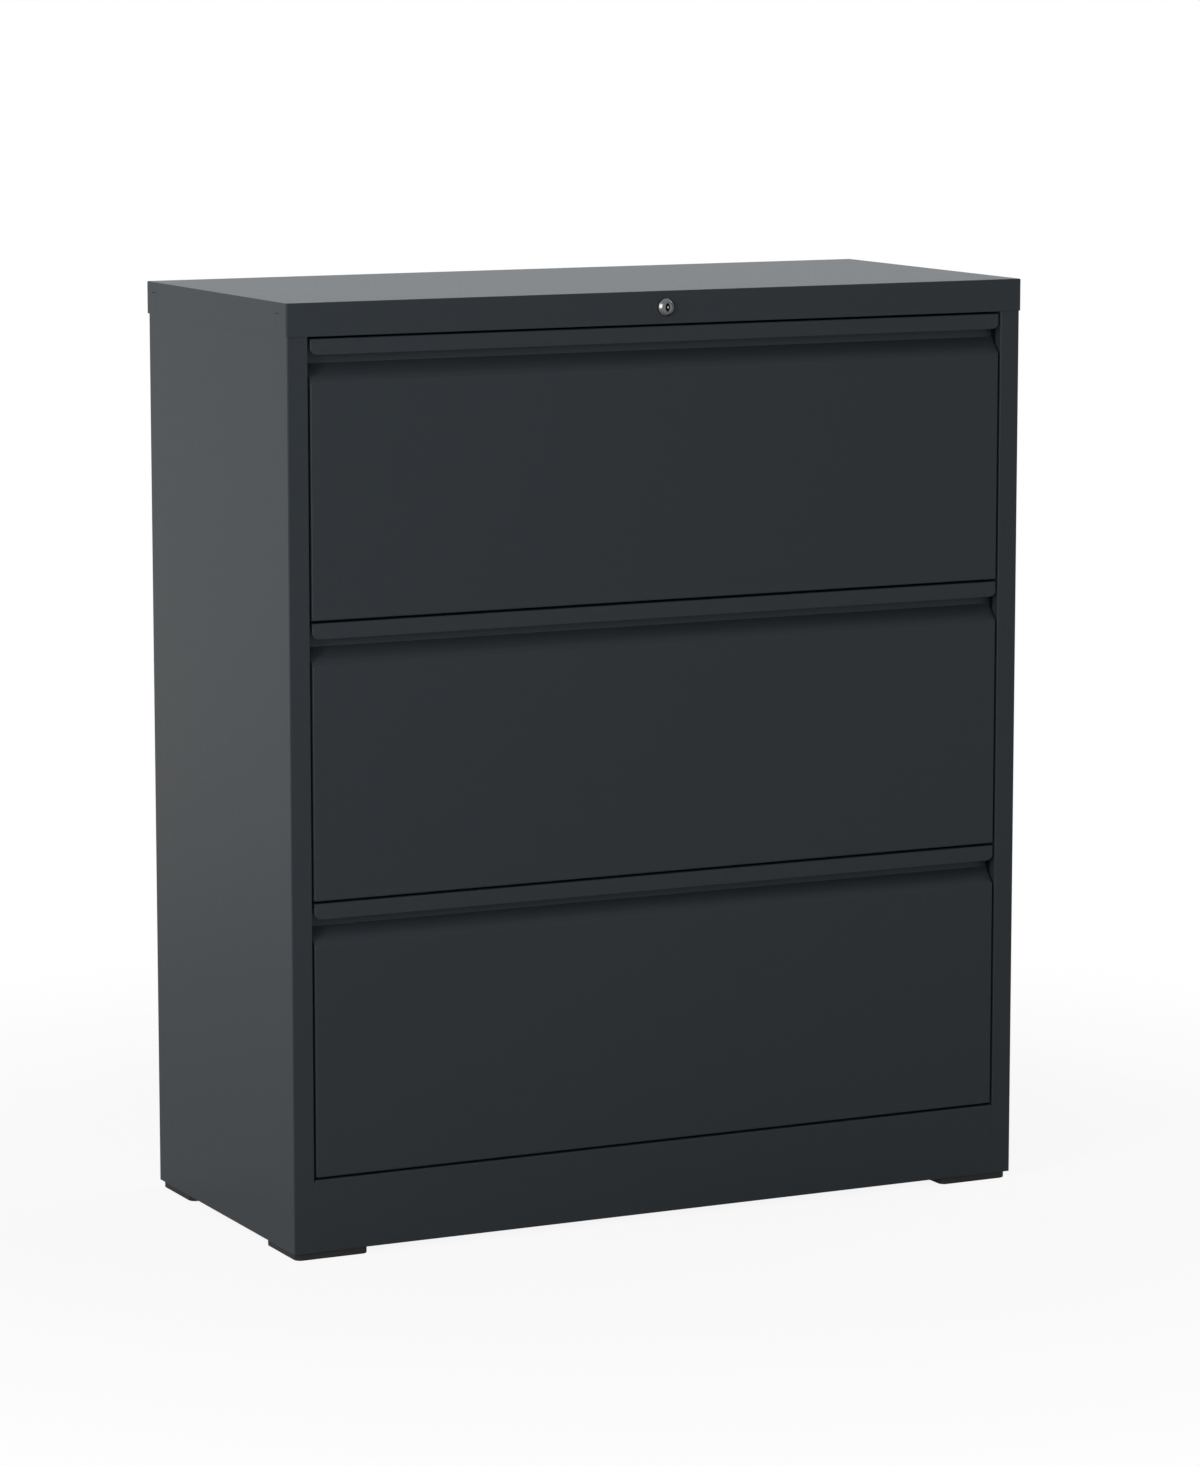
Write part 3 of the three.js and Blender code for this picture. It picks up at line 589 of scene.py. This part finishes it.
class CABINET_OT_case(bpy.types.Operator):
    """Round the sheet edges of the case's panels, rail, plinth and uprights"""

    bl_idname = "cabinet.case"
    bl_label = "Case panels"

    panels = (
        "left_side_panel", "right_side_panel", "back_panel", "top_rail", "plinth", "base_panel",
    )
    seam = 0.4 * MM  # between the plinth's end and the stile
    fold = 1.5 * MM  # outside radius of the stile's fold
    bite = 0.05 * MM  # how far a weld reaches into the sheets beside it
    room_below = 0.3 * MM  # from the plinth's lower edge to a weld
    room_above = 2 * MM  # from a weld to the plinth's upper edge

    def execute(self, context):
        uprights = [f"{side}_{row}_upright" for side, _ in SIDES for row in ROWS]
        for node in (*self.panels, *uprights):
            soften(node, sizes().sheet_edge)
        for side, way in SIDES:
            self.weld(f"{side}_plinth_weld", way)
        return {"FINISHED"}

    def weld(self, name, way):
        """A ground weld that fills the groove between the plinth's end and the stile's fold."""
        low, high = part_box("plinth")
        start = high.x - self.bite
        centre = (high.x + self.seam + self.fold, self.fold)
        groove = [(start, sizes().weld_dip)]
        groove += arc(centre, self.fold - self.bite, 250, 180, 5)
        groove += [(start, self.fold)]
        outline = [(way * x, low.y + depth) for x, depth in groove]
        piece = outline_prism(name, outline, low.z + self.room_below, high.z - self.room_above)
        even_shading(piece)
        settle(piece, "case", "graphite_paint")


class CABINET_OT_cap(bpy.types.Operator):
    """Make the cap, with the slits round the tabs lanced in its side skirts"""

    bl_idname = "cabinet.cap"
    bl_label = "Top cap"

    # Each tab, in millimetres: how far behind the cap's front edge its slit over the top starts
    # and ends and its upright slit lies, and how far below the cap's top the upright slit starts
    # and ends.
    tabs = ((17.6, 29.2, 29.2, 12.0, 30.6), (370.5, 385.4, 370.5, 11.7, 31.8))
    cut = 0.85 * MM  # depth of the slit over the top
    score = 0.4 * MM  # depth of the upright slit
    fine = 0.18 * MM  # half the width of the upright slit

    def execute(self, context):
        low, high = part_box("top_cap")
        piece = softened("top_cap", sizes().sheet_edge)
        wide, fine = sizes().cap_slit / 2, self.fine
        for x in (low.x, high.x):
            for near, far, upright, top, bottom in self.tabs:
                y0, y1, y = (low.y + distance * MM for distance in (near, far, upright))
                z0, z1 = high.z - bottom * MM, high.z - top * MM
                slits = (
                    (self.cut, (y0 - fine, z1 - wide), (y1 + fine, z1 + wide)),
                    (self.score, (y - fine, z0), (y + fine, z1)),
                )
                for depth, start, end in slits:
                    carve(piece, block("slit", (x - depth, *start), (x + depth, *end)))
        complete(piece, "top_cap")
        return {"FINISHED"}


class CABINET_OT_feet(bpy.types.Operator):
    """Mould the four corner feet"""

    bl_idname = "cabinet.feet"
    bl_label = "Feet"

    corner = 8 * MM  # radius of a foot's upright corners
    steps = 8  # round each corner
    # The rounding round the bottom: how far up and how far in it is, as shares of its size.
    section = ((0, 1), (0.3, 0.3), (1, 0))

    def execute(self, context):
        for side, _ in SIDES:
            for row in ROWS:
                node = f"{side}_{row}_foot"
                complete(lofted(f"{node}_finished", self.rings(*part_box(node))), node)
        return {"FINISHED"}

    def rings(self, low, high):
        edge = sizes().foot_edge
        levels = [(low.z + edge * rise, edge * inset) for rise, inset in self.section]
        levels.append((high.z, 0))
        return [[(x, y, z) for x, y in self.outline(low, high, inset)] for z, inset in levels]

    def outline(self, low, high, inset):
        radius = self.corner - inset
        x0, x1 = low.x + self.corner, high.x - self.corner
        y0, y1 = low.y + self.corner, high.y - self.corner
        points = []
        for turn, centre in enumerate(((x1, y0), (x1, y1), (x0, y1), (x0, y0))):
            start = 90 * turn - 90
            points += arc(centre, radius, start, start + 90, self.steps)
        return points


class CABINET_OT_fronts(bpy.types.Operator):
    """Make the folded drawer fronts, with the rounding down their sides"""

    bl_idname = "cabinet.fronts"
    bl_label = "Drawer fronts"

    # The plain part of a front starts and ends this far inside its lower edge and its top.
    below = 4 * MM
    above = 50 * MM
    steps = 6  # across each rounding
    past = 10 * MM  # how far the cutting tool reaches past the front

    def execute(self, context):
        for level in LEVELS:
            node = f"{level}_drawer_front"
            low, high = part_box(node)
            piece = softened(node, sizes().sheet_edge)
            carve(piece, self.rounding(low, high), "INTERSECT")
            complete(piece, node, (low.z + self.below, high.z - self.above))
        return {"FINISHED"}

    def rounding(self, low, high):
        """What a front keeps of its box: all but the edges down its sides."""
        radius = sizes().front_edge
        back = high.y + self.past
        outline = arc((low.x + radius, low.y + radius), radius, 180, 270, self.steps)
        outline += arc((high.x - radius, low.y + radius), radius, 270, 360, self.steps)
        outline += [(high.x, back), (low.x, back)]
        return outline_prism("rounding", outline, low.z - self.past, high.z + self.past)


class CABINET_OT_trays(bpy.types.Operator):
    """Make the drawers' inner fronts, trays and file frames"""

    bl_idname = "cabinet.trays"
    bl_label = "Drawer trays"

    def execute(self, context):
        for level in LEVELS:
            for part in ("drawer_inner_front", "drawer_tray", "file_frame"):
                soften(f"{level}_{part}", sizes().sheet_edge)
        return {"FINISHED"}


class CABINET_OT_slides(bpy.types.Operator):
    """Make the telescopic slides with their cages and balls"""

    bl_idname = "cabinet.slides"
    bl_label = "Slides"

    kinds = ("outer", "middle", "inner")
    steel = 1.2 * MM
    cage_half = 2.6 * MM
    cage_steel = 0.5 * MM
    cage_lip = 0.3 * MM
    end_room = 6 * MM
    ball_fit = 0.93  # a ball's share of the room between its races

    def execute(self, context):
        for level in LEVELS:
            places = []
            cage = bmesh.new()
            for side, _ in SIDES:
                for kind in self.kinds:
                    soften(f"{level}_{side}_slide_{kind}", sizes().slide_edge)
                for race in self.races(level, side):
                    places += self.row(cage, *race)
            body = f"{level}_slides"
            cages = new_object(f"{level}_slide_cages", mesh_from(cage, "slide_cages"))
            even_shading(cages)
            settle(cages, body, "zinc_steel")
            spread(f"{level}_slide_balls", places, "ball", self.ball(level), body, "ball_steel")
        return {"FINISHED"}

    def members(self, level, side):
        return [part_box(f"{level}_{side}_slide_{kind}") for kind in self.kinds]

    def ball(self, level):
        outer, middle, _ = self.members(level, "left")
        return (outer[1].z - self.steel - middle[1].z) * self.ball_fit

    def run(self):
        """From a row's first ball to its last."""
        return sizes().ball_pitch * (sizes().ball_count - 1)

    def races(self, level, side):
        """Each row of balls: its x, its z and the y where it starts.

        The outer rows sit towards the middle member's rear end and the inner rows towards its
        front, where the members still overlap with the drawer pulled out.
        """
        outer, middle, inner = self.members(level, side)
        rear = middle[1].y - self.end_room - self.run()
        front = middle[0].y + self.end_room
        x = (max(outer[0].x, middle[0].x) + min(outer[1].x, middle[1].x)) / 2
        x_in = (max(inner[0].x, middle[0].x) + min(inner[1].x, middle[1].x)) / 2
        return [
            (x, (outer[1].z - self.steel + middle[1].z) / 2, rear),
            (x, (outer[0].z + self.steel + middle[0].z) / 2, rear),
            (x_in, (middle[1].z - self.steel + inner[1].z) / 2, front),
            (x_in, (middle[0].z + self.steel + inner[0].z) / 2, front),
        ]

    def row(self, cage, x, z, start):
        """One row of balls, and the cage strip that spaces them, with its edges turned up."""
        half, thick = self.cage_half, self.cage_steel / 2
        flat, rim = half - 2 * thick, z + self.cage_lip + thick
        section = [
            (x - half, rim), (x - flat, z - thick), (x + flat, z - thick),
            (x + half, rim), (x + flat, z + thick), (x - flat, z + thick),
        ]
        past = self.end_room / 2
        ends = (start - past, start + self.run() + past)
        loft(cage, [[(px, y, pz) for px, pz in section] for y in ends])
        pitch, count = sizes().ball_pitch, sizes().ball_count
        return [((x, start + i * pitch, z), (0, 0, 1)) for i in range(count)]


class CABINET_OT_lock(bpy.types.Operator):
    """Make the lock's cylinder, plug, nut and cam, and its link, bar, tabs, catches and guides"""

    bl_idname = "cabinet.lock"
    bl_label = "Lock"

    bore = 6.15 * MM  # radius, as the next two
    body = 8.75 * MM
    face = 6.7 * MM  # where the head's flat face meets its sloping rim
    bulge = 0.12 * MM  # of the sloping rim
    slope_steps = 8
    edge = 0.12 * MM  # rounding of the bore and the plug
    nut_edge = 0.4 * MM
    seat = 0.25 * MM  # between the head and the cap
    plates = (
        "lock_cam", "lock_link", "lock_link_guide", "lock_bar", "lock_bar_lower_guide",
        "lock_bar_upper_guide",
    )
    # The keyway's mouth and the wafer in it: how far right of the lock's axis, half the width and
    # half the height, and where they start and end behind the plug's face.
    mouth = (0, 2.7 * MM, 4.9 * MM, -1 * MM, 3 * MM)
    wafer = (0.9 * MM, 0.6 * MM, 1.1 * MM, 1.2 * MM, 3.2 * MM)
    oval_steps = 24

    def execute(self, context):
        self.cylinder()
        self.plug()
        soften("lock_nut", self.nut_edge)
        stops = [f"{level}_{part}" for level in LEVELS for part in ("lock_tab", "lock_catch")]
        for node in (*self.plates, *stops):
            soften(node, sizes().sheet_edge)
        return {"FINISHED"}

    def cylinder(self):
        low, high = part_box("lock_cylinder")
        head = (high.x - low.x) / 2
        shoulder = LOCK_AXIS.y - self.seat
        profile = [(self.bore, high.y), (self.body, high.y)]
        profile += [(self.body, shoulder), (head, shoulder)]
        profile += self.slope((head, low.y + sizes().head_slope), (self.face, low.y))
        profile += [(self.bore + self.edge, low.y), (self.bore, low.y + self.edge)]
        complete(turned("lock_cylinder_finished", profile, LOCK_AXIS), "lock_cylinder")

    def slope(self, outer, inner):
        """A gently bulging slope from the head's rim to its face."""
        run, rise = outer[0] - inner[0], outer[1] - inner[1]
        way = Vector((rise, -run)).normalized() * self.bulge
        points = []
        for step in range(self.slope_steps + 1):
            part = step / self.slope_steps
            swell = 4 * part * (1 - part)
            points.append(
                (outer[0] - run * part + way.x * swell, outer[1] - rise * part + way.y * swell)
            )
        return points

    def plug(self):
        piece = softened("lock_plug", self.edge)
        piece.data.materials.append(finish(SLOT["lock_plug"]))
        # The recess walls take the painted shade finish, a near-black in place of the slot's own shade.
        recess = self.oval("recess", "dark_keyway", *self.mouth)
        carve(piece, recess, finishes="TRANSFER")
        complete(piece, "lock_plug")
        wafer = self.oval("lock_wafer", "ball_steel", *self.wafer)
        even_shading(wafer)
        settle(wafer, BODY["lock_plug"], SLOT["lock_plug"])

    def oval(self, name, material, offset, half_width, half_height, near, far):
        """An upright oval in the plug's face, with its finish."""
        low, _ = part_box("lock_plug")
        x, z = LOCK_AXIS.x + offset, LOCK_AXIS.z
        circle = arc((0, 0), 1, 0, 360, self.oval_steps)[:-1]
        rim = [(x + half_width * across, z + half_height * up) for across, up in circle]
        piece = lofted(name, [[(px, low.y + y, pz) for px, pz in rim] for y in (near, far)])
        piece.data.materials.append(finish(material))
        return piece


def fastener_tree():
    """Stands one shape on every point, along the point's facing and turned at random about it."""
    label = "Fasteners on points"
    tree = bpy.data.node_groups.get(label)
    if tree:
        return tree
    tree = bpy.data.node_groups.new(label, "GeometryNodeTree")
    sockets = {
        "Points": "Geometry", "Shape": "Object", "Diameter": "Float", "Finish": "Material",
        "Seed": "Int",
    }
    for name, kind in sockets.items():
        tree.interface.new_socket(name, in_out="INPUT", socket_type=f"NodeSocket{kind}")
    tree.interface.new_socket("Fasteners", in_out="OUTPUT", socket_type="NodeSocketGeometry")
    given = put(tree, "NodeGroupInput").outputs
    shape = put(tree, "GeometryNodeObjectInfo", {"Object": given["Shape"]}).outputs["Geometry"]
    named = {"Name": "facing"}
    facing = put(tree, "GeometryNodeInputNamedAttribute", named, data_type="FLOAT_VECTOR")
    ahead = {"Vector": facing.outputs[0]}
    upright = put(tree, "FunctionNodeAlignRotationToVector", ahead, axis="Z").outputs[0]
    # Sockets 2 and 3 and output 1 are the random value's plain numbers, and 8 is its seed.
    turns = {2: 0.0, 3: 2 * math.pi, 8: given["Seed"]}
    about = {"Axis": (0, 0, 1), "Angle": put(tree, "FunctionNodeRandomValue", turns).outputs[1]}
    spin = put(tree, "FunctionNodeAxisAngleToRotation", about).outputs[0]
    both = {"Rotation": upright, "Rotate By": spin}
    turn = put(tree, "FunctionNodeRotateRotation", both, rotation_space="LOCAL").outputs[0]
    stand = {
        "Points": given["Points"], "Instance": shape, "Rotation": turn, "Scale": given["Diameter"],
    }
    stood = put(tree, "GeometryNodeInstanceOnPoints", stand).outputs[0]
    solid = put(tree, "GeometryNodeRealizeInstances", {"Geometry": stood}).outputs[0]
    coat = {"Geometry": solid, "Material": given["Finish"]}
    coated = put(tree, "GeometryNodeSetMaterial", coat).outputs[0]
    put(tree, "NodeGroupOutput", {"Fasteners": coated})
    return tree


# Heads with a diameter of 1: rows of radius and height, from the middle of the top to that of
# the base, which stands a little into the sheet.
HEADS = {
    "screw": (
        (0, 0.3), (0.2, 0.29), (0.34, 0.24), (0.45, 0.14), (0.5, 0.04), (0.5, -0.05), (0, -0.05),
    ),
    "rivet": (
        (0, 0.2), (0.12, 0.17), (0.2, 0.21), (0.36, 0.16), (0.47, 0.06), (0.5, -0.05), (0, -0.05),
    ),
}
HEAD_SIDES = 20
CROSS_WIDTH, CROSS_REACH = 0.05, 0.27  # half of each slot of a screw's cross recess
CROSS_FLOOR, CROSS_TOP = 0.12, 0.5
FRONT_TO_TOP = ((1, 0, 0, 0), (0, 0, 1, 0), (0, -1, 0, 0), (0, 0, 0, 1))  # turns -Y to +Z
BALL_ROUNDS = 2  # subdivisions of a ball
SPIN_SEED = 7


def head_shape(kind):
    """A fastener's head standing on Z = 0, with a cross recess if it is a screw."""
    profile = [(radius, -height) for radius, height in HEADS[kind]]
    piece = turned("head", profile, Vector((0, 0, 0)), HEAD_SIDES)
    piece.data.transform(FRONT_TO_TOP)
    if kind == "screw":
        for x, y in ((CROSS_WIDTH, CROSS_REACH), (CROSS_REACH, CROSS_WIDTH)):
            carve(piece, block("recess", (-x, -y, CROSS_FLOOR), (x, y, CROSS_TOP)))
    even_shading(piece)
    return piece


def ball_shape():
    shape = bmesh.new()
    bmesh.ops.create_icosphere(shape, subdivisions=BALL_ROUNDS, radius=0.5)
    piece = new_object("ball", mesh_from(shape, "ball"))
    piece.data.shade_smooth()
    return piece


def spread(name, places, kind, diameter, body, material="zinc_steel"):
    """One mesh of like fasteners on a body; each place is a point and the way it faces."""
    shape = ball_shape() if kind == "ball" else head_shape(kind)
    mesh = bpy.data.meshes.new(name)
    mesh.from_pydata([point for point, _ in places], [], [])
    facing = mesh.attributes.new("facing", "FLOAT_VECTOR", "POINT")
    facing.data.foreach_set("vector", [float(c) for _, way in places for c in way])
    piece = new_object(name, mesh)
    tree = fastener_tree()
    keys = {item.name: item.identifier for item in tree.interface.items_tree}
    field = piece.modifiers.new("Fasteners", "NODES")
    field.node_group = tree
    field[keys["Shape"]] = shape
    field[keys["Diameter"]] = diameter
    field[keys["Finish"]] = finish(material)
    field[keys["Seed"]] = SPIN_SEED
    bake(piece)
    discard(shape)
    settle(piece, body, "zinc_steel")


def along(low, high, *parts):
    """Places between two values, as shares of the way."""
    return [low + part * (high - low) for part in parts]


class CABINET_OT_fasteners(bpy.types.Operator):
    """Fit the screws and rivets of the back, trays, file frames, catches and lock tabs"""

    bl_idname = "cabinet.fasteners"
    bl_label = "Screws and rivets"

    sheet = 1 * MM
    seat = 0.25 * MM  # between a slide and the tray's wall
    frame_steel = 1.5 * MM
    back_head = 6 * MM  # diameter of the back's screws
    back_edge = 9 * MM  # from the back's screws to its sides
    back_top = 50 * MM  # of the back panel, without screws
    slide_end = 30 * MM  # from a slide's outer screws to its ends
    catch_rear = 5 * MM  # from a catch's rivets to its rear edge

    def execute(self, context):
        self.back()
        for level in LEVELS:
            self.drawer(level)
        self.lock_bar()
        return {"FINISHED"}

    def back(self):
        low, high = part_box("back_panel")
        heights = along(low.z, high.z - self.back_top, 0.03, 0.22, 0.41, 0.6, 0.79, 0.98)
        columns = (low.x + self.back_edge, high.x - self.back_edge)
        places = [((x, high.y, z), (0, 1, 0)) for x in columns for z in heights]
        spread("back_screws", places, "screw", self.back_head, "case")

    def drawer(self, level):
        slide_low, slide_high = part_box(f"{level}_right_slide_inner")
        frame_low, frame_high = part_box(f"{level}_file_frame")
        catch_low, catch_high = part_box(f"{level}_lock_catch")
        wall = slide_low.x - self.seat - self.sheet
        bar = frame_high.x - self.frame_steel
        slide_z = (slide_low.z + slide_high.z) / 2
        frame_z = (frame_low.z + frame_high.z) / 2
        first, last = slide_low.y + self.slide_end, slide_high.y - self.slide_end
        screws, rivets = [], []
        for _, way in SIDES:
            inwards = (-way, 0, 0)
            for y in (first, (slide_low.y + slide_high.y) / 2, last):
                screws.append(((way * wall, y, slide_z), inwards))
            for y in along(frame_low.y, frame_high.y, 0.12, 0.5, 0.88):
                rivets.append(((way * bar, y, frame_z), inwards))
        x, y = catch_low.x + self.sheet, catch_high.y - self.catch_rear
        for z in along(catch_low.z, catch_high.z, 0.27, 0.73):
            rivets.append(((x, y, z), (1, 0, 0)))
        body = f"{level}_drawer"
        spread(f"{level}_slide_screws", screws, "screw", sizes().screw_head, body)
        spread(f"{level}_drawer_rivets", rivets, "rivet", sizes().rivet_head, body)

    def lock_bar(self):
        bar_low, bar_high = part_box("lock_bar")
        places = []
        for level in LEVELS:
            low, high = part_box(f"{level}_lock_tab")
            for x in along(bar_low.x, bar_high.x, 0.3, 0.7):
                places.append(((x, high.y, (low.z + high.z) / 2), (0, 1, 0)))
        spread("lock_bar_rivets", places, "rivet", sizes().rivet_head, "lock_bar")


OPERATORS = (
    CABINET_OT_stage,
    CABINET_OT_case,
    CABINET_OT_cap,
    CABINET_OT_feet,
    CABINET_OT_fronts,
    CABINET_OT_trays,
    CABINET_OT_slides,
    CABINET_OT_lock,
    CABINET_OT_fasteners,
)


class CABINET_PT_dressing(bpy.types.Panel):
    """The cabinet's pieces, sizes and finishes"""

    bl_idname = "CABINET_PT_dressing"
    bl_label = "Filing cabinet"
    bl_space_type = "VIEW_3D"
    bl_region_type = "UI"
    bl_category = "Cabinet"

    def draw(self, context):
        for operator in OPERATORS:
            self.layout.operator(operator.bl_idname)
        for group in GROUPS:
            values = getattr(context.scene, group)
            column = self.layout.column(align=True)
            for name in values.__annotations__:
                column.prop(values, name)


GROUPS = {
    "cabinet_finish": CabinetFinish,
    "cabinet_sizes": CabinetSizes,
    "cabinet_stage": CabinetStage,
}
CLASSES = (*GROUPS.values(), *OPERATORS, CABINET_PT_dressing)


def register():
    for item in CLASSES:
        bpy.utils.register_class(item)
    for name, group in GROUPS.items():
        setattr(bpy.types.Scene, name, PointerProperty(type=group))


def unregister():
    for name in GROUPS:
        delattr(bpy.types.Scene, name)
    for item in reversed(CLASSES):
        bpy.utils.unregister_class(item)


def main():
    register()
    for operator in OPERATORS:
        getattr(bpy.ops.cabinet, operator.bl_idname.split(".")[1])()


if __name__ == "__main__":
    main()
